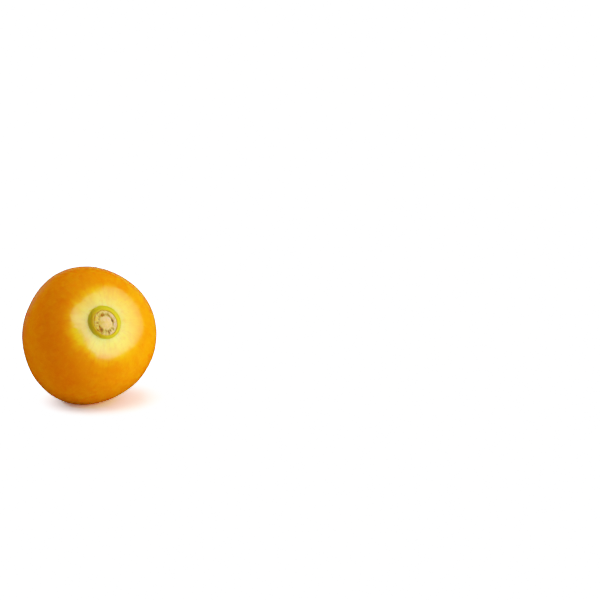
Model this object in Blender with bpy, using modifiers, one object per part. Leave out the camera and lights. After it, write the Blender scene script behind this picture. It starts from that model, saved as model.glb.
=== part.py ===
"""A ripe physalis berry (cape gooseberry) out of its husk, lying on its side.

The berry grew as one piece, so it is one solid. It is turned about its own stem axis, gets the
uneven lobes and the scar relief by formula, and is then laid on the small flat spot that it rests on.
Units are metres. +Z is up, the stem scar faces -Y and upwards, and the origin is at the middle of
the berry's bottom.
"""

import math
import random

import bmesh
import bpy
from mathutils import Matrix, Vector

MM = 0.001

# The fruit
BERRY_WIDTH = 23.0 * MM
STEM_HALF_LENGTH = 9.8 * MM
BLOSSOM_HALF_LENGTH = 11.4 * MM
STEM_HALF_POWER = 3.0
BLOSSOM_HALF_POWER = 2.0

# The uneven growth, as shares of the radius, strongest at the widest place
LOBE_COUNT = 3
LOBE_SHARE = 0.0182
LOBE_TURN = math.radians(111)
OVAL_SHARE = 0.019
OVAL_TURN = math.radians(69)
RIB_COUNT = 5
RIB_SHARE = 0.0049
RIB_TURN = math.radians(24)

# The stem scar: a low green collar round a disc of cork, on the flat shoulder of the skin
COLLAR_FOOT_RADIUS = 2.8 * MM
COLLAR_RIM_RADIUS = 2.05 * MM
COLLAR_HEIGHT = 0.75 * MM
COLLAR_OVAL_SHARE = 0.025
COLLAR_OVAL_TURN = math.radians(130)
COLLAR_SHIFT = Vector((-0.1, -0.2, 0)) * MM
CORK_SHIFT = Vector((-0.06, -0.21, 0)) * MM
CORK_STRETCH = 0.06
CORK_RADIUS = 1.97 * MM
CORK_DROP = 0.05 * MM
CORK_BOSS_RADIUS = 0.85 * MM
CORK_BOSS_HEIGHT = 0.16 * MM
GROOVE_WIDTH = 0.1 * MM
GROOVE_DEPTH = 0.12 * MM
PIT_COUNT = 11
PIT_RING_RADIUS = 1.35 * MM
PIT_RING_WIDTH = 0.34 * MM
PIT_DEPTH = 0.3 * MM
SHOULDER_DIP_RADIUS = 4.6 * MM
SHOULDER_DIP_WIDTH = 2.2 * MM
SHOULDER_DIP_DEPTH = 0.1 * MM

# The blossom end: a dimple with the dry stump of the style in it
DIMPLE_RADIUS = 1.5 * MM
DIMPLE_DEPTH = 0.28 * MM
STYLE_RADIUS = 0.36 * MM
STYLE_HEIGHT = 0.34 * MM

# How it lies: the stem axis points this far above the surface, and the skin is pressed flat this deep
STEM_RISE = math.radians(28.5)
REST_DEPTH = 0.26 * MM

# How finely the solid is faceted
STEPS_ROUND = 72
SCAR_RING_RADII = [mm * MM for mm in (
    0.2, 0.4, 0.62, 0.85, 1.05, 1.25, 1.45, 1.62, 1.78, 1.9, 1.98, 2.06, 2.16,
    2.28, 2.4, 2.52, 2.64, 2.76, 2.9, 3.1, 3.4, 3.8, 4.3,
)]
SHOULDER_RINGS = 11
BELLY_RINGS = 13
DIMPLE_RING_RADII = [mm * MM for mm in (2.6, 1.9, 1.4, 1.0, 0.7, 0.5, 0.4, 0.3, 0.18)]

SEED = 7
SKIN, COLLAR, CORK = 0, 1, 2


def bell(distance, width):
    """A smooth hump of height 1, which has fallen to about a third at one width."""
    return math.exp(-((distance / width) ** 2))


def ramp(value, start, end):
    """0 at start, 1 at end, with a smooth step between."""
    share = min(1.0, max(0.0, (value - start) / (end - start)))
    return share * share * (3 - 2 * share)


def skin_height(radius, half_length, power):
    """Height of the bare skin over the widest plane. A power of 2 is round, more is flatter at the pole."""
    share = min(1.0, radius / (BERRY_WIDTH / 2))
    return half_length * math.sqrt(1 - share**power)


def collar_height(radius):
    """How far the collar and the cork stand over the bare skin, at this distance from the axis."""
    height = COLLAR_HEIGHT * ramp(radius, COLLAR_FOOT_RADIUS, COLLAR_RIM_RADIUS)
    height -= CORK_DROP * ramp(radius, COLLAR_RIM_RADIUS, CORK_RADIUS)
    height += CORK_BOSS_HEIGHT * bell(radius, CORK_BOSS_RADIUS)
    height -= GROOVE_DEPTH * bell(radius - CORK_RADIUS, GROOVE_WIDTH)
    return height - SHOULDER_DIP_DEPTH * bell(radius - SHOULDER_DIP_RADIUS, SHOULDER_DIP_WIDTH)


def blossom_depth(radius):
    """How far the dimple lies under the bare skin, less the stump that stands in it."""
    return DIMPLE_DEPTH * bell(radius, DIMPLE_RADIUS) - STYLE_HEIGHT * bell(radius, STYLE_RADIUS)


def outline():
    """Half of the berry's section, from the cork down its outer side to the style's stump."""
    def top(radius):
        return skin_height(radius, STEM_HALF_LENGTH, STEM_HALF_POWER) + collar_height(radius)

    def bottom(radius):
        return blossom_depth(radius) - skin_height(radius, BLOSSOM_HALF_LENGTH, BLOSSOM_HALF_POWER)

    half_width = BERRY_WIDTH / 2
    points = [(radius, top(radius)) for radius in [0.0, *SCAR_RING_RADII]]
    first = math.asin(SCAR_RING_RADII[-1] / half_width)
    for ring in range(1, SHOULDER_RINGS + 1):
        turn = first + (math.pi / 2 - first) * ring / SHOULDER_RINGS
        points.append((half_width * math.sin(turn), top(half_width * math.sin(turn))))
    last = math.asin(DIMPLE_RING_RADII[0] / half_width)
    for ring in range(1, BELLY_RINGS):
        turn = math.pi / 2 + (math.pi / 2 - last) * ring / BELLY_RINGS
        points.append((half_width * math.sin(turn), bottom(half_width * math.sin(turn))))
    points += [(radius, bottom(radius)) for radius in [*DIMPLE_RING_RADII, 0.0]]
    return points


def turned_mesh(name, points):
    """The outline turned about Z with a Screw modifier, as a plain mesh."""
    mesh = bpy.data.meshes.new(name + "_outline")
    edges = [(i, i + 1) for i in range(len(points) - 1)]
    mesh.from_pydata([(radius, 0, height) for radius, height in points], edges, [])
    guide = bpy.data.objects.new(name + "_outline", mesh)
    bpy.context.scene.collection.objects.link(guide)
    screw = guide.modifiers.new("turn", "SCREW")
    screw.axis = "Z"
    screw.steps = screw.render_steps = STEPS_ROUND
    screw.use_merge_vertices = True
    screw.merge_threshold = 1e-6
    screw.use_normal_calculate = True
    graph = bpy.context.evaluated_depsgraph_get()
    turned = bpy.data.meshes.new_from_object(guide.evaluated_get(graph))
    turned.name = name
    bpy.data.objects.remove(guide)
    bpy.data.meshes.remove(mesh)
    return turned


def lobe_scale(turn, height):
    """How much wider than round the berry has grown in this direction, at this height."""
    half_length = STEM_HALF_LENGTH if height > 0 else BLOSSOM_HALF_LENGTH
    fade = max(0.0, 1 - (height / half_length) ** 2)
    return 1 + fade * (
        LOBE_SHARE * math.cos(LOBE_COUNT * (turn - LOBE_TURN))
        + OVAL_SHARE * math.cos(2 * (turn - OVAL_TURN))
        + RIB_SHARE * math.cos(RIB_COUNT * (turn - RIB_TURN))
    )


def pits(draw):
    """The dry ends of the stalk's strands, as (turn, radius, depth) in a rough ring in the cork."""
    return [
        (
            2 * math.pi * (i + draw.uniform(-0.25, 0.25)) / PIT_COUNT,
            PIT_RING_RADIUS * draw.uniform(0.9, 1.12),
            PIT_DEPTH * draw.uniform(0.45, 1.0),
        )
        for i in range(PIT_COUNT)
    ]


def pit_depth(point, holes):
    """How deep the cork is broken in at this point of it."""
    return sum(
        depth * bell(math.dist(point, (radius * math.cos(turn), radius * math.sin(turn))),
                     PIT_RING_WIDTH)
        for turn, radius, depth in holes
    )


def grow(mesh, draw):
    """Moves the turned mesh's points to the berry's uneven shape, and breaks pits in the cork."""
    holes = pits(draw)
    for vertex in mesh.vertices:
        x, y, z = vertex.co
        radius, turn = math.hypot(x, y), math.atan2(y, x)
        share = ramp(radius, SHOULDER_DIP_RADIUS, COLLAR_RIM_RADIUS) if z > 0 else 0.0
        scale = lobe_scale(turn, z)
        scale *= 1 + share * COLLAR_OVAL_SHARE * math.cos(2 * (turn - COLLAR_OVAL_TURN))
        if share and radius < CORK_RADIUS:
            z -= pit_depth((x, y), holes)
        raised = ramp(radius, COLLAR_FOOT_RADIUS, COLLAR_RIM_RADIUS) if z > 0 else 0.0
        taller = 1 + raised * CORK_STRETCH
        vertex.co = Vector((x * scale, y * scale * taller, z)) + share * COLLAR_SHIFT + raised * CORK_SHIFT


def paint(mesh):
    """Gives the faces of the collar and the cork their own materials, by their place."""
    for face in mesh.polygons:
        radius = math.hypot(face.center.x, face.center.y)
        if face.center.z < 0 or radius > COLLAR_FOOT_RADIUS:
            face.material_index = SKIN
        else:
            face.material_index = COLLAR if radius > CORK_RADIUS else CORK


def lay_down(mesh):
    """Tips the berry on its side, and sets it so deep that the rest spot is cut at the origin's height."""
    mesh.transform(Matrix.Rotation(math.pi / 2 - STEM_RISE, 4, "X"))
    low = [min(vertex.co[axis] for vertex in mesh.vertices) for axis in range(3)]
    high = [max(vertex.co[axis] for vertex in mesh.vertices) for axis in range(3)]
    middle = [(low[axis] + high[axis]) / 2 for axis in range(2)]
    mesh.transform(Matrix.Translation((-middle[0], -middle[1], -low[2] - REST_DEPTH)))


def material(name, colour, roughness):
    """A plain Principled material. Colours are linear red, green and blue."""
    made = bpy.data.materials.new(name)
    made.use_nodes = True
    shader = made.node_tree.nodes["Principled BSDF"]
    shader.inputs["Base Color"].default_value = (*colour, 1)
    shader.inputs["Roughness"].default_value = roughness
    shader.inputs["Metallic"].default_value = 0
    return made


def collection(name):
    made = bpy.data.collections.new(name)
    bpy.context.scene.collection.children.link(made)
    return made


def rest_cutter(cutters):
    """A box under the surface, whose top face cuts the rest spot."""
    side, depth = 1.5 * BERRY_WIDTH, 4 * MM
    mesh = bpy.data.meshes.new("rest_cutter")
    shape = bmesh.new()
    bmesh.ops.create_cube(shape, size=1)
    bmesh.ops.scale(shape, vec=(side, side, depth), verts=shape.verts)
    bmesh.ops.translate(shape, vec=(0, 0, -depth / 2), verts=shape.verts)
    shape.to_mesh(mesh)
    shape.free()
    cutter = bpy.data.objects.new("rest_cutter", mesh)
    cutters.objects.link(cutter)
    cutter.hide_render = True
    cutter.display_type = "WIRE"
    return cutter


def berry(parts, cutters):
    mesh = turned_mesh("berry", outline())
    grow(mesh, random.Random(SEED))
    mesh.materials.append(material("berry_skin", (0.80, 0.28, 0.012), 0.3))
    mesh.materials.append(material("collar_green", (0.36, 0.33, 0.015), 0.5))
    mesh.materials.append(material("cork_tan", (0.56, 0.36, 0.14), 0.85))
    paint(mesh)
    lay_down(mesh)
    mesh.shade_smooth()
    fruit = bpy.data.objects.new("berry", mesh)
    parts.objects.link(fruit)
    cut = fruit.modifiers.new("rest_spot", "BOOLEAN")
    cut.operation = "DIFFERENCE"
    cut.object = rest_cutter(cutters)
    return fruit


def main():
    for old in list(bpy.data.objects):
        bpy.data.objects.remove(old)
    berry(collection("physalis_berry"), collection("cutters"))


main()
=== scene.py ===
"""The looks of a ripe physalis berry that lies on its side: waxy orange skin, green collar, pitted cork."""

import math

import bpy
import numpy as np
from mathutils import Matrix, Vector, noise


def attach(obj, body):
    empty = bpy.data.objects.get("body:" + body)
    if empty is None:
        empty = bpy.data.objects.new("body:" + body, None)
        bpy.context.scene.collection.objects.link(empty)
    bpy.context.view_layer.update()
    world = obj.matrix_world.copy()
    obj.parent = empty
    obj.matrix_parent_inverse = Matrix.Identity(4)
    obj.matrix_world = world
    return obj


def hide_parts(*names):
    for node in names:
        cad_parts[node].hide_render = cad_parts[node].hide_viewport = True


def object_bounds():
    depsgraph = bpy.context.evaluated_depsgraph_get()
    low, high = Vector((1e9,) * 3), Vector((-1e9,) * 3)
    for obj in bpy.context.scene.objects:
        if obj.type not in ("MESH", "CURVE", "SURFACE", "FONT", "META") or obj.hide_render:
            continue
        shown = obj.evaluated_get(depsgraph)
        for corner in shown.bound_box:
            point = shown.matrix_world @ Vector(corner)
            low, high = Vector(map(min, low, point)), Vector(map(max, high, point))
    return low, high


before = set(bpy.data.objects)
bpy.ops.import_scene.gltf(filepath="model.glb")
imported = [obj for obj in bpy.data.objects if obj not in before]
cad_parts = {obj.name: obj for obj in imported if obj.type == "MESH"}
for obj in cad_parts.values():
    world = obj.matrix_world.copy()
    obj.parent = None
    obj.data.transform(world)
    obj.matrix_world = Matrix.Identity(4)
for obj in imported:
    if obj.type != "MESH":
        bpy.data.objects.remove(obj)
CAD_LOW, CAD_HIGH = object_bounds()

MM = 0.001

# The fruit: the driving dimensions of the CAD solid
BERRY_RADIUS = 11.5 * MM
STEM_HALF_LENGTH = 9.8 * MM
BLOSSOM_HALF_LENGTH = 11.4 * MM
STEM_HALF_POWER = 3.0
BLOSSOM_HALF_POWER = 2.0
LOBES = (  # how many round the berry, their share of the radius, and where the first one points
    (3, 0.0182, math.radians(111)),
    (2, 0.019, math.radians(69)),
    (5, 0.0049, math.radians(24)),
)
COLLAR_FOOT_RADIUS = 2.8 * MM
COLLAR_RIM_RADIUS = 2.05 * MM
COLLAR_HEIGHT = 0.75 * MM
COLLAR_OVAL_SHARE = 0.025
COLLAR_OVAL_TURN = math.radians(130)
COLLAR_SHIFT = np.array((-0.1, -0.2, 0.0)) * MM
CORK_SHIFT = np.array((-0.06, -0.21, 0.0)) * MM
CORK_STRETCH = 0.06
CORK_RADIUS = 1.97 * MM
CORK_DROP = 0.05 * MM
CORK_BOSS_RADIUS = 0.85 * MM
CORK_BOSS_HEIGHT = 0.16 * MM
GROOVE_WIDTH = 0.1 * MM
GROOVE_DEPTH = 0.12 * MM
SHOULDER_DIP_RADIUS = 4.6 * MM
SHOULDER_DIP_WIDTH = 2.2 * MM
SHOULDER_DIP_DEPTH = 0.1 * MM
DIMPLE_RADIUS = 1.5 * MM
DIMPLE_DEPTH = 0.28 * MM
STYLE_RADIUS = 0.36 * MM
STYLE_HEIGHT = 0.34 * MM
STEM_RISE = math.radians(28.5)

# The fine surface that only this script gives the berry. A relief is a list of layers of smooth noise, and
# each layer has its height, the size of its features and its seed. Each seed reads the noise this far off
SEED_STRIDE = (17.3, 5.1, -9.7)
SKIN_SWELLS = ((0.05 * MM, 3.6 * MM, 0), (0.025 * MM, 1.8 * MM, 1))
SMOOTH_SKIN_RADIUS = 1.6 * COLLAR_FOOT_RADIUS
VEIN_COUNT = 10
VEIN_HEIGHT = 0.012 * MM
VEIN_WIDTH = 0.16
VEIN_WANDER_ROUND = 0.25
VEIN_WANDER_DOWN = 0.2
VEIN_WAVE = 3 * MM
FOOT_EDGE = 0.1 * MM
RIM_DROP = 0.05 * MM
RIM_GAP = 0.04 * MM
HIDDEN_STEP = 0.12 * MM
# How far in from the rim the collar browns, partly with painted shade of the groove
BROWN_AND_SHADED_RIM_WIDTH = 0.24 * MM
COLLAR_BUMPS = ((0.05 * MM, 0.9 * MM, 2), (0.02 * MM, 0.32 * MM, 3))
COLLAR_WOBBLE = ((0.07 * MM, 1.3 * MM, 4), (0.014 * MM, 0.25 * MM, 5))
CORK_SIDE_STEP = 0.1 * MM
CORK_SWELL = 0.08 * MM
CORK_SWELL_RADIUS = 1.7 * MM
CORK_SWELL_WIDTH = 0.45 * MM
CORK_GRAIN = ((0.035 * MM, 0.34 * MM, 9), (0.02 * MM, 0.14 * MM, 10))
CORK_WARP = tuple((0.1 * MM, 0.4 * MM, seed) for seed in (6, 7, 8))
CRACK_RADIUS = 1.5 * MM
CRACK_INNER_RADIUS = 0.5 * MM
CRACK_STRETCH = 0.45
CRACK_SIZE = 0.5 * MM
CRACK_WIDTH = 0.1
CRACK_DEPTH = 0.06 * MM
CRACK_SLICE = 0.3
PIT_RING_RADIUS = 1.28 * MM
PIT_RING_WIDTH = 0.16 * MM
PIT_RING_DEPTH = 0.03 * MM
FULL_HOLLOW = 0.24 * MM
STYLE_FLARE = 1.25
STYLE_TAPER = 0.55
STYLE_TIP = 0.02
STYLE_SUNK = 0.12 * MM
STYLE_BUMPS = ((0.16 * STYLE_RADIUS, 0.22 * MM, 11),)

# Where the rows of the hidden undersides lie, as shares of the way across
COLLAR_FLOOR = (0.3, 0.65, 1.0)
CORK_FLOOR = (0.7, 0.35)
STYLE_FLOOR = (0.3, 0.7)

# The pits where the stalk's strands broke off. Each has its place round the cork in degrees, then in
# millimetres how far out it lies, how deep it is and its half widths round and outwards, and last how rusty
# it is, where 0 is a clean dark crack
PITS = (
    (106, 1.30, 0.17, 0.42, 0.32, 0.9),
    (128, 1.50, 0.07, 0.10, 0.36, 0.3),
    (147, 1.15, 0.07, 0.18, 0.16, 0.3),
    (177, 1.50, 0.13, 0.15, 0.42, 0.7),
    (192, 1.62, 0.08, 0.08, 0.34, 0.5),
    (205, 1.22, 0.15, 0.28, 0.22, 0.8),
    (216, 1.90, 0.12, 0.22, 0.14, 0.8),
    (229, 1.50, 0.22, 0.46, 0.38, 0.9),
    (264, 1.34, 0.14, 0.17, 0.26, 0.1),
    (279, 1.54, 0.16, 0.17, 0.32, 0.2),
    (296, 1.38, 0.14, 0.15, 0.26, 0.2),
    (313, 1.58, 0.15, 0.15, 0.28, 0.1),
    (346, 1.22, 0.07, 0.22, 0.14, 0.2),
    (6, 1.28, 0.13, 0.32, 0.18, 0.1),
    (22, 1.25, 0.12, 0.34, 0.17, 0.1),
    (52, 1.32, 0.08, 0.34, 0.16, 0.2),
    (76, 1.38, 0.08, 0.26, 0.15, 0.3),
)

# How finely the pieces are built
MEASURED_COLUMNS = 180
BODY_ROWS, BODY_COLUMNS = 210, 320
WALL_ROWS, LIP_ROWS, HIDDEN_ROWS, COLLAR_COLUMNS = 22, 10, 5, 256
CORK_ROWS, CORK_SIDE_ROWS, CORK_COLUMNS = 84, 4, 240
STYLE_ROWS, STYLE_COLUMNS = 22, 72

# The photograph's frame, and where the berry stands in it
PHOTO_PIXELS = 600
PHOTO_AZIMUTH = math.radians(-18.6)
PHOTO_ELEVATION = math.radians(15.7)
PHOTO_BERRY_CENTRE = (88.6, 335.6)
PHOTO_PIXELS_PER_METRE = 5920
LENS, SENSOR = 135, 36
NEAREST_SEEN = 10 * MM


def bell(distance, width):
    """A smooth hump of height 1, which has fallen to about a third at one width."""
    return np.exp(-((distance / width) ** 2))


def ramp(value, start, end):
    """0 at start, 1 at end, with a smooth step between."""
    share = np.clip((value - start) / (end - start), 0, 1)
    return share * share * (3 - 2 * share)


def skin_height(radius, half_length, power):
    """Height of the bare skin over the widest plane. A power of 2 is round, more is flatter at the pole."""
    share = np.clip(radius / BERRY_RADIUS, 0, 1)
    return half_length * np.sqrt(1 - share**power)


def stem_skin(radius):
    """Height of the stem half, with the shallow dip that its shoulder has."""
    dip = SHOULDER_DIP_DEPTH * bell(radius - SHOULDER_DIP_RADIUS, SHOULDER_DIP_WIDTH)
    return skin_height(radius, STEM_HALF_LENGTH, STEM_HALF_POWER) - dip


def blossom_skin(radius):
    """Height of the blossom half, which is below 0, with its dimple."""
    dimple = DIMPLE_DEPTH * bell(radius, DIMPLE_RADIUS)
    return dimple - skin_height(radius, BLOSSOM_HALF_LENGTH, BLOSSOM_HALF_POWER)


def lobe_scale(turn, height):
    """How much wider than round the berry has grown in this direction, at this height."""
    half_length = np.where(height > 0, STEM_HALF_LENGTH, BLOSSOM_HALF_LENGTH)
    fade = np.clip(1 - (height / half_length) ** 2, 0, 1)
    return 1 + fade * sum(share * np.cos(count * (turn - first)) for count, share, first in LOBES)


def grown(radius, turn, height):
    """Points of the turned shape, moved to the berry's uneven shape, as an array of x, y, z."""
    share = np.where(height > 0, ramp(radius, SHOULDER_DIP_RADIUS, COLLAR_RIM_RADIUS), 0)
    oval = 1 + share * COLLAR_OVAL_SHARE * np.cos(2 * (turn - COLLAR_OVAL_TURN))
    scale = lobe_scale(turn, height) * oval
    raised = np.where(height > 0, ramp(radius, COLLAR_FOOT_RADIUS, COLLAR_RIM_RADIUS), 0)
    taller = 1 + raised * CORK_STRETCH
    points = np.stack([radius * scale * np.cos(turn), radius * scale * taller * np.sin(turn), height], -1)
    return points + share[..., None] * COLLAR_SHIFT + raised[..., None] * CORK_SHIFT


def noise_at(points, size, seed):
    """Smooth noise from -1 to 1 at each point, with features about this size."""
    offset = Vector([stride * seed for stride in SEED_STRIDE])
    flat = points.reshape(-1, 3) / size
    return np.array([noise.noise(Vector(p) + offset) for p in flat]).reshape(points.shape[:-1])


def relief(points, layers):
    """The height of a relief at each point."""
    return sum(height * noise_at(points, size, seed) for height, size, seed in layers)


def turned_rows(profile, columns):
    """Radius, turn and height of each point of a profile that is turned round the stem axis."""
    radius = np.array([point[0] for point in profile])
    height = np.array([point[1] for point in profile])
    turn = np.linspace(0, 2 * math.pi, columns, endpoint=False)
    turn, radius = np.meshgrid(turn, radius)
    return radius, turn, np.repeat(height[:, None], columns, 1)


def outward(points):
    """Unit normals of a grid whose rows run from the stem pole down and whose columns run round."""
    along = np.gradient(points, axis=0)
    around = np.roll(points, -1, 1) - np.roll(points, 1, 1)
    normal = np.cross(along, around)
    return normal / np.maximum(np.linalg.norm(normal, axis=-1, keepdims=True), 1e-12)


def lie_down():
    """The matrix that lays the grown berry on its side where the CAD solid lies."""
    tip = Matrix.Rotation(math.pi / 2 - STEM_RISE, 4, "X")
    radius, turn, height = turned_rows(body_profile(), MEASURED_COLUMNS)
    points = grown(radius, turn, height).reshape(-1, 3) @ np.array(tip.to_3x3()).T
    low, high = points.min(0), points.max(0)
    middle = (CAD_LOW + CAD_HIGH) / 2
    move = (middle.x - (low[0] + high[0]) / 2, middle.y - (low[1] + high[1]) / 2, CAD_HIGH.z - high[2])
    return Matrix.Translation(move) @ tip


def press_flat(mesh):
    """Sets whatever would go through the surface on it, as the soft skin gives way."""
    for vertex in mesh.vertices:
        vertex.co.z = max(vertex.co.z, 0.0)


def grid_faces(rows, columns, closed_ring):
    """The faces between a grid's points. If it isn't a closed ring, its end rows close in poles."""
    index = np.arange(rows * columns).reshape(rows, columns)
    if closed_ring:
        index = np.vstack([index, index[:1]])
    beside = np.roll(index, -1, 1)
    faces = np.stack([index[:-1], index[1:], beside[1:], beside[:-1]], -1).reshape(-1, 4).tolist()
    if not closed_ring:
        top, bottom = rows * columns, rows * columns + 1
        faces += [(top, int(a), int(b)) for a, b in zip(index[0], beside[0])]
        faces += [(bottom, int(b), int(a)) for a, b in zip(index[-1], beside[-1])]
    return faces


def listed(values, closed_ring):
    """The values of a grid as a list. If it isn't a closed ring, those of its two poles come last."""
    flat = values.reshape(-1, *values.shape[2:])
    if closed_ring:
        return flat
    return np.concatenate([flat, [values[0].mean(0), values[-1].mean(0)]])


def grid_piece(name, points, closed_ring=False, **marks):
    """An object built as a grid of points. The marks are values at the points that its material reads."""
    vertices = listed(points, closed_ring)
    mesh = bpy.data.meshes.new(name)
    mesh.from_pydata(vertices.tolist(), [], grid_faces(*points.shape[:2], closed_ring))
    place = mesh.attributes.new("place", "FLOAT_VECTOR", "POINT")
    place.data.foreach_set("vector", (vertices / BERRY_RADIUS).astype(np.float32).ravel())
    for mark, values in marks.items():
        layer = mesh.attributes.new(mark, "FLOAT", "POINT")
        layer.data.foreach_set("value", listed(values, closed_ring).astype(np.float32))
    mesh.transform(LIE_DOWN)
    press_flat(mesh)
    mesh.shade_smooth()
    piece = bpy.data.objects.new(name, mesh)
    bpy.context.scene.collection.objects.link(piece)
    return piece


def dress(piece, material):
    """Gives the piece its material, and ties it to the berry of the frame."""
    piece.data.materials.append(material)
    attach(piece, "root")
    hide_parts("berry")


def body_profile():
    """The skin's section, from under the cork down the outer side to the blossom end."""
    turns = np.linspace(0, math.pi, BODY_ROWS + 1)[1:-1]
    radii = BERRY_RADIUS * np.sin(turns)
    stem_side = turns <= math.pi / 2
    heights = np.where(stem_side, stem_skin(radii), blossom_skin(radii))
    return list(zip(radii, heights))


def vein_share(turn, height):
    """How strongly one of the faint veins that run from pole to pole shows here."""
    wander = VEIN_WANDER_ROUND * np.sin(3 * turn + 1.0)
    wander = wander + VEIN_WANDER_DOWN * np.sin(height / VEIN_WAVE + 2 * turn)
    return bell(np.sin((VEIN_COUNT * turn + wander) / 2), VEIN_WIDTH)


def berry_skin():
    """The waxy skin, with soft swells and with the veins drawn in, which fade towards the collar."""
    radius, turn, height = turned_rows(body_profile(), BODY_COLUMNS)
    points = grown(radius, turn, height)
    clear = ramp(radius, COLLAR_FOOT_RADIUS, SMOOTH_SKIN_RADIUS)
    veins = VEIN_HEIGHT * vein_share(turn, height)
    points = points + outward(points) * ((relief(points, SKIN_SWELLS) - veins) * clear)[..., None]
    piece = grid_piece("berry_skin", points)
    dress(piece, skin_material())


def collar_profile():
    """The collar's section: up the outer wall, over the rim, down beside the cork, and back in the flesh."""
    outer = np.linspace(COLLAR_FOOT_RADIUS + FOOT_EDGE / 2, COLLAR_RIM_RADIUS, WALL_ROWS)
    share = ramp(outer, COLLAR_FOOT_RADIUS + FOOT_EDGE, COLLAR_RIM_RADIUS)
    wall = list(zip(outer, stem_skin(outer) + COLLAR_HEIGHT * share))
    rim_width = COLLAR_RIM_RADIUS - CORK_RADIUS - RIM_GAP
    top = stem_skin(COLLAR_RIM_RADIUS) + COLLAR_HEIGHT
    lip = []
    for step in range(1, LIP_ROWS + 1):
        turn = math.pi / 2 * step / LIP_ROWS
        lip.append((COLLAR_RIM_RADIUS - rim_width * math.sin(turn), top - RIM_DROP * (1 - math.cos(turn))))
    inner = COLLAR_RIM_RADIUS - rim_width
    hidden = [(inner, top - RIM_DROP - HIDDEN_STEP * step) for step in range(1, HIDDEN_ROWS + 1)]
    low = hidden[-1][1]
    under = [(inner + share * (COLLAR_FOOT_RADIUS - inner), low) for share in COLLAR_FLOOR]
    sill = (COLLAR_FOOT_RADIUS + FOOT_EDGE / 2, stem_skin(COLLAR_FOOT_RADIUS) - HIDDEN_STEP)
    return [sill] + wall + lip + hidden + under


def collar():
    """The green collar of the scar. It tells its material how far up a point is, and how near the cork."""
    radius, turn, height = turned_rows(collar_profile(), COLLAR_COLUMNS)
    points = grown(radius, turn, height)
    base = stem_skin(COLLAR_FOOT_RADIUS)
    lift = ramp(height, base, base + COLLAR_HEIGHT)
    points[..., 2] += lift * relief(points, COLLAR_BUMPS)
    away = np.stack([np.cos(turn), np.sin(turn), np.zeros_like(turn)], -1)
    points += away * (lift * relief(points, COLLAR_WOBBLE))[..., None]
    inner = ramp(radius, COLLAR_RIM_RADIUS + BROWN_AND_SHADED_RIM_WIDTH, COLLAR_RIM_RADIUS)
    piece = grid_piece("scar_collar", points[::-1], closed_ring=True, lift=lift[::-1], inner=inner[::-1])
    dress(piece, collar_material())


def pitted(points):
    """How deep the cork is broken in at these points, and how rusty it is there."""
    depth, rust = np.zeros((2, *points.shape[:-1]))
    for degrees, radius, most, round_width, out_width, rusty in PITS:
        turn = math.radians(degrees)
        out = np.array((math.cos(turn), math.sin(turn)))
        aside = np.array((-out[1], out[0]))
        away = points[..., :2] / MM - radius * out
        share = bell(np.hypot(away @ aside / round_width, away @ out / out_width), 1)
        depth += most * MM * share
        rust += rusty * share
    return depth, rust


def crack_share(points):
    """Where the dry cork has split: thin lines between cells that are long outwards, in its outer ring."""
    out = np.hypot(points[..., 0], points[..., 1])
    drawn_in = (CRACK_RADIUS + CRACK_STRETCH * (out - CRACK_RADIUS)) / np.maximum(out, 1e-6)
    flat = (points * drawn_in[..., None]).reshape(-1, 3) / CRACK_SIZE
    split = np.empty(len(flat))
    for i, p in enumerate(flat):
        near, _ = noise.voronoi(Vector((p[0], p[1], CRACK_SLICE)))
        split[i] = near[1] - near[0]
    return bell(split.reshape(out.shape), CRACK_WIDTH) * ramp(out, CRACK_INNER_RADIUS, CRACK_RADIUS)


def cork():
    """The disc of dry cork in the collar. It tells its material how hollow and how rusty a point is."""
    rim = CORK_RADIUS + RIM_GAP / 2
    radii = rim * np.linspace(0, 1, CORK_ROWS + 1)[1:]
    base = stem_skin(COLLAR_RIM_RADIUS) + COLLAR_HEIGHT - CORK_DROP
    heights = base + CORK_BOSS_HEIGHT * bell(radii, CORK_BOSS_RADIUS)
    heights += CORK_SWELL * bell(radii - CORK_SWELL_RADIUS, CORK_SWELL_WIDTH)
    heights -= GROOVE_DEPTH * bell(radii - CORK_RADIUS, GROOVE_WIDTH)
    side = [(rim, heights[-1] - step * CORK_SIDE_STEP) for step in range(1, CORK_SIDE_ROWS + 1)]
    profile = list(zip(radii, heights)) + side + [(rim * share, side[-1][1]) for share in CORK_FLOOR]
    radius, turn, height = turned_rows(profile, CORK_COLUMNS)
    flat = np.stack([radius * np.cos(turn), radius * np.sin(turn), np.zeros_like(radius)], -1)
    shown = (np.arange(len(profile)) < CORK_ROWS)[:, None] * np.ones_like(radius)
    warped = flat + np.stack([relief(flat, [layer]) for layer in CORK_WARP], -1)
    pits, rust = pitted(warped)
    ring = PIT_RING_DEPTH * bell(np.hypot(warped[..., 0], warped[..., 1]) - PIT_RING_RADIUS, PIT_RING_WIDTH)
    hollow = (pits + ring + CRACK_DEPTH * crack_share(warped)) * shown
    height = height - hollow + relief(flat, CORK_GRAIN) * shown
    points = grown(radius, turn, height)
    piece = grid_piece("scar_cork", points, hollow=hollow / FULL_HOLLOW, rust=rust)
    dress(piece, cork_material())


def style_stump():
    """The dry end of the style, in the dimple of the blossom end."""
    steps = np.linspace(0, 1, STYLE_ROWS)
    foot = blossom_skin(np.array(0.0)) + STYLE_SUNK
    radii = STYLE_RADIUS * (STYLE_FLARE * (1 - steps) ** STYLE_TAPER + STYLE_TIP)
    profile = list(zip(radii, foot - STYLE_HEIGHT * steps))
    base = [(radii[0] * share, profile[0][1]) for share in STYLE_FLOOR]
    radius, turn, height = turned_rows(base + profile, STYLE_COLUMNS)
    points = grown(radius, turn, height)
    points = points + outward(points) * relief(points, STYLE_BUMPS)[..., None]
    piece = grid_piece("style_stump", points)
    dress(piece, stump_material())
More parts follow.
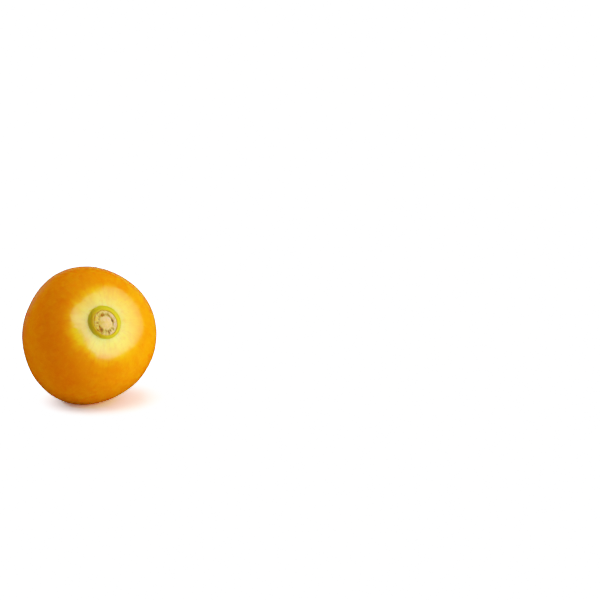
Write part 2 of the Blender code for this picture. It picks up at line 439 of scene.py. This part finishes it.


# Materials

# The skin's colour by its angle from the stem pole, as a share of half a turn
# The yellower belt at 0.45 is painted light: a lighter tone that stands in for light falling there
SKIN_AND_PAINTED_LIGHT_BY_ANGLE = (
    (0.085, (0.98, 0.78, 0.078)),
    (0.115, (0.99, 0.74, 0.040)),
    (0.155, (0.99, 0.60, 0.016)),
    (0.185, (0.89, 0.36, 0.005)),
    (0.22, (0.79, 0.240, 0.002)),
    (0.34, (0.76, 0.224, 0.001)),
    (0.45, (0.77, 0.256, 0.001)),
    (0.57, (0.74, 0.207, 0.001)),
    (0.9, (0.74, 0.192, 0.001)),
)
# The pale halo's ragged edge, as changes of that angle: everywhere, by the way it leans, and from noise
HALO_EDGE = 0.182
HALO_LEAN = (-0.028, 0.026, 0.0)
BROAD_RAYS, FINE_RAYS, HALO_BLOTCHES = 0.20, 0.055, 0.09
# How slowly a streak changes on its way from pole to pole
STREAK_STRETCH = 0.55
# Clouds over the skin's colour. Each has the scale, detail and roughness of its noise, the stretch of the
# noise in which it comes up, how strong it is, and its colour
SKIN_CLOUDS = (
    (1.3, 2.0, 0.5, 0.35, 0.70, 0.30, (0.76, 0.15, 0.001)),
    (4.5, 3.0, 0.6, 0.45, 0.70, 0.24, (0.72, 0.14, 0.001)),
    (16.0, 4.0, 0.6, 0.45, 0.70, 0.28, (0.90, 0.33, 0.008)),
)
STREAK_COLOUR = (0.92, 0.34, 0.008)
STRAND_COLOUR = (0.66, 0.13, 0.001)
PORE_COLOUR = (0.96, 0.42, 0.03)
FLECK_COLOUR = (0.40, 0.10, 0.004)
BLOSSOM_COLOUR = (0.90, 0.36, 0.006)
DRY_COLOUR = (0.26, 0.085, 0.006)
PORE_SCALE = 36.0
FLECK_SCALE = 7.0
# The angles from the stem pole, in radians, between which the halo's skin turns into the skin of the rest,
# the skin turns paler towards the blossom end, and it dries round the style
HALO_END = (0.5, 1.1)
BLOSSOM_END = (2.98, 3.14)
DRY_END = (3.10, 3.135)

GREEN_BY_LIFT = (
    (0.0, (0.62, 0.48, 0.005)),
    (0.12, (0.55, 0.43, 0.002)),
    (0.6, (0.52, 0.41, 0.001)),
    (0.9, (0.54, 0.36, 0.001)),
)
# The browns beside the cork are partly the collar's own colour, partly painted shade of the groove there
RIM_BROWNS_AND_GROOVE_SHADE = ((0.35, (0.50, 0.33, 0.004)), (0.65, (0.42, 0.24, 0.003)))
PALE_GREEN = (0.60, 0.50, 0.03)
TAN_ACROSS = (
    (0.22, (0.62, 0.34, 0.030)),
    (0.42, (0.77, 0.46, 0.12)),
    (0.58, (0.79, 0.46, 0.18)),
    (0.76, (0.76, 0.41, 0.25)),
)
TAN_GRAIN = (0.58, 0.34, 0.08)
RUSTY_PITS = ((0.15, (0.60, 0.35, 0.04)), (0.6, (0.40, 0.20, 0.012)), (1.0, (0.20, 0.085, 0.007)))
DARK_PITS = ((0.15, (0.52, 0.36, 0.09)), (0.6, (0.36, 0.23, 0.05)), (1.0, (0.17, 0.09, 0.015)))
STUMP_BROWNS = ((0.35, (0.10, 0.035, 0.006)), (0.65, (0.34, 0.15, 0.03)))


class Nodes:
    """Builds the node tree of a material, world or light from plain calls.

    A value can be a number, a colour or another node's socket.
    """

    def __init__(self, owner):
        owner.use_nodes = True
        self.owner = owner
        self.tree = owner.node_tree

    def put(self, socket, value):
        if isinstance(value, bpy.types.NodeSocket):
            self.tree.links.new(value, socket)
        elif isinstance(value, (tuple, list)) and len(value) == 3 and socket.type == "RGBA":
            socket.default_value = (*value, 1)
        else:
            socket.default_value = value

    def add(self, kind, settings=(), **inputs):
        made = self.tree.nodes.new(kind)
        for key, value in dict(settings).items():
            setattr(made, key, value)
        for key, value in inputs.items():
            self.put(made.inputs[key.replace("_", " ")], value)
        return made

    def finish(self, node, **inputs):
        """Sets the sockets of the node that the tree came with."""
        for key, value in inputs.items():
            self.put(self.tree.nodes[node].inputs[key.replace("_", " ")], value)
        return self.owner

    def math(self, operation, *values):
        made = self.add("ShaderNodeMath", {"operation": operation})
        for socket, value in zip(made.inputs, values):
            self.put(socket, value)
        return made.outputs[0]

    def vector(self, operation, *values, output="Vector"):
        made = self.add("ShaderNodeVectorMath", {"operation": operation})
        for socket, value in zip(made.inputs, values):
            self.put(socket, value)
        return made.outputs[output]

    def mark(self, name, output="Fac"):
        return self.add("ShaderNodeAttribute", {"attribute_name": name}).outputs[output]

    def geometry(self, output):
        return self.add("ShaderNodeNewGeometry").outputs[output]

    def seen_ray(self):
        """1 for what the camera sees directly, and 0 for the light that reaches the berry."""
        return self.add("ShaderNodeLightPath").outputs["Is Camera Ray"]

    def noise(self, vector, scale, detail=2.0, roughness=0.5):
        made = self.add("ShaderNodeTexNoise", Vector=vector, Scale=scale, Detail=detail, Roughness=roughness)
        return made.outputs["Fac"]

    def cells(self, vector, scale, output="Distance"):
        return self.add("ShaderNodeTexVoronoi", Vector=vector, Scale=scale).outputs[output]

    def span(self, value, low, high, to_low=0.0, to_high=1.0, way="SMOOTHSTEP"):
        """The value's place between low and high, held at the ends."""
        made = self.add("ShaderNodeMapRange", {"interpolation_type": way})
        for socket, given in zip(made.inputs, (value, low, high, to_low, to_high)):
            self.put(socket, given)
        return made.outputs[0]

    def blend(self, share, first, second):
        made = self.add("ShaderNodeMix", {"data_type": "RGBA"}, Factor=share)
        colours = {socket.name: socket for socket in made.inputs if socket.type == "RGBA"}
        self.put(colours["A"], first)
        self.put(colours["B"], second)
        return next(socket for socket in made.outputs if socket.type == "RGBA")

    def tinge(self, base, share, strength, colour):
        """The base colour, with this much of another one where the share is 1."""
        return self.blend(self.math("MULTIPLY", share, strength), base, colour)

    def stops(self, value, stops, way="LINEAR"):
        made = self.add("ShaderNodeValToRGB", Fac=value)
        made.color_ramp.interpolation = way
        elements = made.color_ramp.elements
        while len(elements) < len(stops):
            elements.new(0.5)
        for element, (place, colour) in zip(elements, stops):
            element.position = place
            element.color = (*colour, 1)
        return made.outputs["Color"]

    def bump(self, height, distance, strength, normal=None):
        made = self.add("ShaderNodeBump", Height=height, Distance=distance, Strength=strength)
        if normal is not None:
            self.put(made.inputs["Normal"], normal)
        return made.outputs[0]


def material_nodes(name):
    """The nodes of a new material."""
    return Nodes(bpy.data.materials.new(name))


def halo_colour(n, place, turn_vector, polar, meridian):
    """The pale halo round the scar, with an edge that is ragged along the meridians, and orange round it."""
    rays = n.math(
        "ADD",
        n.math("MULTIPLY", n.noise(meridian, 3.2, 3.0, 0.6), BROAD_RAYS),
        n.math("MULTIPLY", n.noise(meridian, 13.0, 3.0, 0.65), FINE_RAYS),
    )
    rays = n.math("ADD", rays, n.math("MULTIPLY", n.noise(place, 7.0, 3.0, 0.6), HALO_BLOTCHES))
    lean = n.vector("DOT_PRODUCT", turn_vector, HALO_LEAN, output="Value")
    angle = n.math("SUBTRACT", n.math("ADD", n.math("ADD", polar, lean), rays), HALO_EDGE)
    return n.stops(n.math("MULTIPLY", angle, 1 / math.pi), SKIN_AND_PAINTED_LIGHT_BY_ANGLE)


def skin_material():
    """Waxy orange skin that shows faint streaks, pores and flecks."""
    n = material_nodes("waxy_orange_skin")
    place = n.mark("place", "Vector")
    x, y, z = n.add("ShaderNodeSeparateXYZ", Vector=place).outputs
    across = n.add("ShaderNodeCombineXYZ", X=x, Y=y).outputs[0]
    polar = n.math("ARCTAN2", n.vector("LENGTH", across, output="Value"), z)
    # Noise along this vector hardly changes along a meridian, so it makes streaks that run out from the stem
    turn_vector = n.vector("NORMALIZE", across)
    slow = n.add("ShaderNodeCombineXYZ", Z=n.math("MULTIPLY", polar, STREAK_STRETCH)).outputs[0]
    meridian = n.vector("ADD", turn_vector, slow)
    skin = halo_colour(n, place, turn_vector, polar, meridian)
    for scale, detail, roughness, low, high, strength, colour in SKIN_CLOUDS:
        cloud = n.span(n.noise(place, scale, detail, roughness), low, high)
        skin = n.tinge(skin, cloud, strength, colour)
    # Pale streaks away from the halo, and darker strands of flesh that show through all of the skin
    far = n.span(polar, *HALO_END)
    streak = n.span(n.noise(meridian, 26.0, 3.0, 0.6), 0.5, 0.72)
    skin = n.tinge(skin, n.math("MULTIPLY", streak, far), 0.2, STREAK_COLOUR)
    strand = n.span(n.noise(meridian, 9.0, 4.0, 0.7), 0.52, 0.62)
    skin = n.tinge(skin, strand, 0.2, STRAND_COLOUR)
    # Pale pores, and a few brown flecks: only some of the cells have one
    pore = n.span(n.cells(place, PORE_SCALE), 0.16, 0.06)
    skin = n.tinge(skin, n.math("MULTIPLY", pore, far), 0.16, PORE_COLOUR)
    lot = n.add("ShaderNodeSeparateColor", Color=n.cells(place, FLECK_SCALE, "Color")).outputs[0]
    middle = n.span(n.cells(place, FLECK_SCALE), 0.05, 0.02)
    skin = n.tinge(skin, n.math("MULTIPLY", middle, n.span(lot, 0.08, 0.06)), 0.35, FLECK_COLOUR)
    # The blossom end, and the dry spot round the style
    pale = n.math("ADD", polar, n.math("MULTIPLY", n.noise(place, 12.0, 2.0), 0.15))
    skin = n.tinge(skin, n.span(pale, *BLOSSOM_END), 0.5, BLOSSOM_COLOUR)
    dry = n.math("ADD", polar, n.math("MULTIPLY", n.noise(place, 40.0, 3.0), 0.05))
    skin = n.tinge(skin, n.span(dry, *DRY_END), 0.85, DRY_COLOUR)
    grain = n.bump(n.noise(place, 70.0, 3.0, 0.6), 0.012 * MM, 0.5)
    dented = n.bump(n.noise(place, 14.0, 2.0), 0.03 * MM, 0.5, grain)
    return n.finish(
        "Principled BSDF",
        Base_Color=skin,
        Roughness=n.span(n.noise(place, 9.0, 3.0), 0.3, 0.75, 0.10, 0.155),
        Normal=n.bump(n.noise(meridian, 30.0, 2.0), 0.02 * MM, 0.4, dented),
        IOR=1.5,
        Subsurface_Weight=1.0,
        Subsurface_Radius=(1.0, 0.32, 0.05),
        Subsurface_Scale=3.6 * MM,
    )


def collar_material():
    """Fleshy yellow green, browner beside the cork, partly with painted shade of the groove."""
    n = material_nodes("green_collar")
    place = n.mark("place", "Vector")
    patch = n.noise(place, 9.0, 4.0, 0.6)
    fine = n.noise(place, 60.0, 3.0, 0.6)
    uneven = n.math("MULTIPLY", n.math("SUBTRACT", patch, 0.5), 0.35)
    green = n.stops(n.math("ADD", n.mark("lift"), uneven), GREEN_BY_LIFT)
    # Browner beside the cork: partly its own colour, partly painted shade of the groove between collar and
    # cork
    by_the_cork = n.span(n.math("ADD", n.mark("inner"), uneven), 0.1, 0.8)
    green = n.blend(by_the_cork, green, n.stops(patch, RIM_BROWNS_AND_GROOVE_SHADE))
    green = n.blend(n.span(fine, 0.5, 0.8, 0.0, 0.4), green, PALE_GREEN)
    return n.finish(
        "Principled BSDF",
        Base_Color=green,
        Roughness=n.span(patch, 0.3, 0.7, 0.42, 0.58),
        Normal=n.bump(fine, 0.02 * MM, 0.6, n.bump(n.cells(place, 90.0), 0.01 * MM, 0.5)),
        IOR=1.45,
        Specular_IOR_Level=0.2,
        Subsurface_Weight=0.5,
        Subsurface_Radius=(1.0, 0.9, 0.1),
        Subsurface_Scale=0.6 * MM,
    )


def cork_material():
    """Dry tan cork, paler to the right, with rusty and dark pits."""
    n = material_nodes("pitted_cork")
    place = n.mark("place", "Vector")
    grain = n.noise(place, 70.0, 4.0, 0.7)
    x = n.add("ShaderNodeSeparateXYZ", Vector=place).outputs[0]
    side = n.math("ADD", n.math("MULTIPLY", x, 1.3), n.noise(place, 12.0, 4.0, 0.6))
    tan = n.blend(n.span(grain, 0.5, 0.75, 0.0, 0.4), n.stops(side, TAN_ACROSS), TAN_GRAIN)
    uneven = n.math("MULTIPLY", n.math("SUBTRACT", grain, 0.5), 0.25)
    deep = n.math("ADD", n.mark("hollow"), uneven)
    rust = n.span(n.mark("rust"), 0.2, 0.7)
    brown = n.blend(rust, n.stops(deep, DARK_PITS), n.stops(deep, RUSTY_PITS))
    return n.finish(
        "Principled BSDF",
        Base_Color=n.blend(n.span(deep, 0.10, 0.36), tan, brown),
        Roughness=n.span(grain, 0.3, 0.7, 0.78, 0.95),
        Normal=n.bump(grain, 0.04 * MM, 0.9, n.bump(n.cells(place, 120.0), 0.02 * MM, 0.6)),
        IOR=1.4,
        Specular_IOR_Level=0.3,
        Subsurface_Weight=0.35,
        Subsurface_Radius=(1.0, 0.6, 0.2),
        Subsurface_Scale=0.4 * MM,
    )


def stump_material():
    """The dry brown end of the style."""
    n = material_nodes("dry_style")
    grain = n.noise(n.mark("place", "Vector"), 90.0, 4.0, 0.7)
    return n.finish(
        "Principled BSDF",
        Base_Color=n.stops(grain, STUMP_BROWNS),
        Roughness=n.span(grain, 0.3, 0.7, 0.7, 0.9),
        Normal=n.bump(grain, 0.02 * MM, 0.8),
        Specular_IOR_Level=0.3,
    )


# Stage

FLOOR_SIDE = 6.0
FLOOR_COLOUR = (0.60, 0.60, 0.60)
FLOOR_SEEN_COLOUR = (2.14, 2.36, 2.52)
FLOOR_SEEN_GLOW = (0.02, 0.01, 0.005)
FLOOR_FAR_GLOW = (1.0, 1.0, 1.0)
FLOOR_FAR_SPAN = (0.06, 0.4)
FLOOR_BOUNCE = 0.8
FLOOR_BOUNCE_SPAN = (-5 * MM, 11 * MM)
ROOM_LIGHT = 0.585
SEEN_WHITE = 3.0

# The softboxes: the way to each one and the way its long side runs, as right, up and towards the camera, and
# how its light fades across it, as (place, share) from one side to the other
LEVEL = (1.0, 0.0, 0.0)
KEY_WAY = (0.761, 0.462, 0.487)
KEY_LONG_SIDE = (0.516, 0.344, -0.784)
KEY_TILT = math.radians(-17)
KEY_DISTANCE = 0.26
KEY_SIZE = (0.430, 0.350)
KEY_RADIANCE = 4.7
KEY_ALONG = ((0.0, 0.0), (0.07, 1.0), (0.22, 0.84), (0.45, 0.68), (0.60, 0.43), (0.76, 0.33), (1.0, 0.0))
KEY_ACROSS = ((0.0, 0.0), (0.20, 1.0), (0.80, 1.0), (1.0, 0.0))
SIDE_WAY = (0.88, 0.30, 0.37)
SIDE_LONG_SIDE = (-0.3, 0.0, 0.95)
SIDE_DISTANCE = 0.4
SIDE_SIZE = (0.3, 0.3)
SIDE_RADIANCE = 8.3
TABLE_WAY = (-0.34, 0.89, 0.27)
TABLE_DISTANCE = 0.4
TABLE_SIZE = (0.62, 0.62)
TABLE_RADIANCE = 2.0
REAR_WAY = (-0.15, 0.50, -0.85)
REAR_DISTANCE = 0.5
REAR_SIZE = (1.5, 1.0)
REAR_RADIANCE = 2.3
BACKDROP_WAY = (-0.05, 0.30, -0.95)
BACKDROP_DISTANCE = 0.4
BACKDROP_SIZE = (0.8, 0.34)
BACKDROP_RADIANCE = 0.19
BACKDROP_FADE = ((0.0, 0.0), (0.5, 1.0), (1.0, 0.0))

# How the camera's film takes light: straight at first, then ever less, up to white
FILM_WHITE = 2.0
FILM_SHOULDER = ((0.25, 0.25), (0.5, 0.50), (0.67, 0.59), (0.95, 0.715), (1.34, 0.875), (1.75, 0.985))


def camera_axes(azimuth, elevation):
    """Right, up and back of a camera at this azimuth and elevation. Azimuth 0 looks along +Y."""
    back = Vector((
        math.sin(azimuth) * math.cos(elevation),
        -math.cos(azimuth) * math.cos(elevation),
        math.sin(elevation),
    ))
    right = Vector((math.cos(azimuth), math.sin(azimuth), 0))
    return right, back.cross(right), back


SEEN_FROM = camera_axes(PHOTO_AZIMUTH, PHOTO_ELEVATION)


def add_camera():
    """The photograph's view: a long lens, with the berry low on the frame's left."""
    distance = LENS / SENSOR * PHOTO_PIXELS / PHOTO_PIXELS_PER_METRE
    column = (PHOTO_BERRY_CENTRE[0] - PHOTO_PIXELS / 2) / PHOTO_PIXELS_PER_METRE
    row = (PHOTO_PIXELS / 2 - PHOTO_BERRY_CENTRE[1]) / PHOTO_PIXELS_PER_METRE
    turned, raised = math.atan2(column, distance), math.atan2(row, distance)
    right, up, back = camera_axes(PHOTO_AZIMUTH + turned, PHOTO_ELEVATION + raised)
    data = bpy.data.cameras.new("camera")
    data.lens = LENS
    data.sensor_width = SENSOR
    data.clip_start = NEAREST_SEEN
    camera = bpy.data.objects.new("camera", data)
    bpy.context.scene.collection.objects.link(camera)
    camera.location = LIE_DOWN.translation - right * column - up * row + back * distance
    camera.rotation_euler = back.to_track_quat("Z", "Y").to_euler()
    bpy.context.scene.camera = camera


def seen(direction):
    """A direction given as right, up and towards the camera, in the world's axes."""
    return sum((axis * share for axis, share in zip(SEEN_FROM, direction)), Vector()).normalized()


def add_softbox(name, way, long_side, distance, size, radiance, mirrored, tilt=0.0):
    """A soft light that faces the berry. It either shows in the skin's gloss or lights what it reaches."""
    way, long_side = seen(way), seen(long_side)
    data = bpy.data.lights.new(name, "AREA")
    data.shape = "RECTANGLE"
    data.size, data.size_y = size
    data.energy = radiance * math.pi * size[0] * size[1]
    light = bpy.data.objects.new(name, data)
    bpy.context.scene.collection.objects.link(light)
    across = way.cross(long_side).normalized()
    turned = Matrix((across.cross(way), across, way)).transposed().to_4x4()
    tilted = turned @ Matrix.Rotation(tilt, 4, "Y")
    light.matrix_world = Matrix.Translation((CAD_LOW + CAD_HIGH) / 2 + way * distance) @ tilted
    light.visible_camera = False
    light.visible_glossy = mirrored
    light.visible_diffuse = not mirrored
    return light


def shape_softbox(light, along, across):
    """Lets a softbox fade towards its edges, as its cloth does."""
    n = Nodes(light.data)
    place = n.add("ShaderNodeSeparateXYZ", Vector=n.geometry("Parametric")).outputs
    fades = []
    for part, fade in zip(place, (along, across)):
        fades.append(n.stops(part, [(at, (share, share, share)) for at, share in fade], "EASE"))
    n.finish("Emission", Strength=n.math("MULTIPLY", *fades))


def link_to_floor(light, floor, state):
    """Lets this light reach only the floor, or all but the floor, so the floor gets a soft shadow only."""
    lit = bpy.data.collections.new(light.name + "_floor")
    lit.objects.link(floor)
    light.light_linking.receiver_collection = lit
    lit.collection_objects[0].light_linking.link_state = state


def add_softboxes(floor):
    """The key is the highlight round the scar, the backdrop a faint rim, and the rest light without gloss."""
    key = add_softbox("key", KEY_WAY, KEY_LONG_SIDE, KEY_DISTANCE, KEY_SIZE, KEY_RADIANCE, True, KEY_TILT)
    shape_softbox(key, KEY_ALONG, KEY_ACROSS)
    side = add_softbox("side", SIDE_WAY, SIDE_LONG_SIDE, SIDE_DISTANCE, SIDE_SIZE, SIDE_RADIANCE, False)
    link_to_floor(side, floor, "EXCLUDE")
    table = add_softbox("table", TABLE_WAY, LEVEL, TABLE_DISTANCE, TABLE_SIZE, TABLE_RADIANCE, False)
    link_to_floor(table, floor, "INCLUDE")
    rear = add_softbox("rear", REAR_WAY, LEVEL, REAR_DISTANCE, REAR_SIZE, REAR_RADIANCE, False)
    link_to_floor(rear, floor, "EXCLUDE")
    backdrop = add_softbox(
        "backdrop", BACKDROP_WAY, LEVEL, BACKDROP_DISTANCE, BACKDROP_SIZE, BACKDROP_RADIANCE, True
    )
    shape_softbox(backdrop, BACKDROP_FADE, BACKDROP_FADE)


def add_world():
    """White to the camera. What lights the berry is an even, dimmer room that its skin doesn't mirror."""
    world = bpy.data.worlds.new("studio")
    bpy.context.scene.world = world
    n = Nodes(world)
    n.finish("Background", Color=(1, 1, 1), Strength=n.span(n.seen_ray(), 0.0, 1.0, ROOM_LIGHT, SEEN_WHITE))
    world.cycles_visibility.glossy = False


def bounce_share(n):
    """Light that the floor throws back at the berry from the side that the side softbox would light."""
    along = n.vector("DOT_PRODUCT", n.geometry("Position"), SEEN_FROM[0], output="Value")
    return n.span(along, *FLOOR_BOUNCE_SPAN, 0.0, FLOOR_BOUNCE, way="LINEAR")


def far_glow(n):
    """White that the floor gains away from the berry, where the table softbox lights it ever less."""
    away = n.vector("LENGTH", n.geometry("Position"), output="Value")
    return n.blend(n.span(away, *FLOOR_FAR_SPAN), FLOOR_SEEN_GLOW, FLOOR_FAR_GLOW)


def floor_material():
    """A matt floor that throws some light back at the berry. The camera sees it brighter than it is."""
    n = material_nodes("pale_floor")
    n.tree.nodes.remove(n.tree.nodes["Principled BSDF"])
    seen_ray = n.seen_ray()
    pale = n.blend(seen_ray, FLOOR_COLOUR, FLOOR_SEEN_COLOUR)
    glow = n.blend(seen_ray, bounce_share(n), far_glow(n))
    both = n.add("ShaderNodeAddShader")
    n.put(both.inputs[0], n.add("ShaderNodeBsdfDiffuse", Color=pale).outputs[0])
    n.put(both.inputs[1], n.add("ShaderNodeEmission", Color=glow).outputs[0])
    material = n.finish("Material Output", Surface=both.outputs[0])
    material.cycles.emission_sampling = "NONE"
    return material


def add_floor():
    """A pale floor that the camera sees nearly white, as on a lit table."""
    bpy.ops.mesh.primitive_plane_add(size=FLOOR_SIDE)
    floor = bpy.context.object
    floor.name = "floor"
    floor.data.materials.append(floor_material())
    floor.visible_glossy = False
    return floor


def set_film():
    """Bends the bright end of the picture's tones as the photograph's are bent."""
    view = bpy.context.scene.view_settings
    view.view_transform = "Standard"
    view.use_curve_mapping = True
    film = view.curve_mapping
    film.white_level = (FILM_WHITE,) * 3
    *_, all_colours = film.curves
    for light, shown in FILM_SHOULDER:
        all_colours.points.new(light / FILM_WHITE, shown)
    film.update()


LIE_DOWN = lie_down()
add_camera()
add_world()
add_softboxes(add_floor())
set_film()
berry_skin()
collar()
cork()
style_stump()
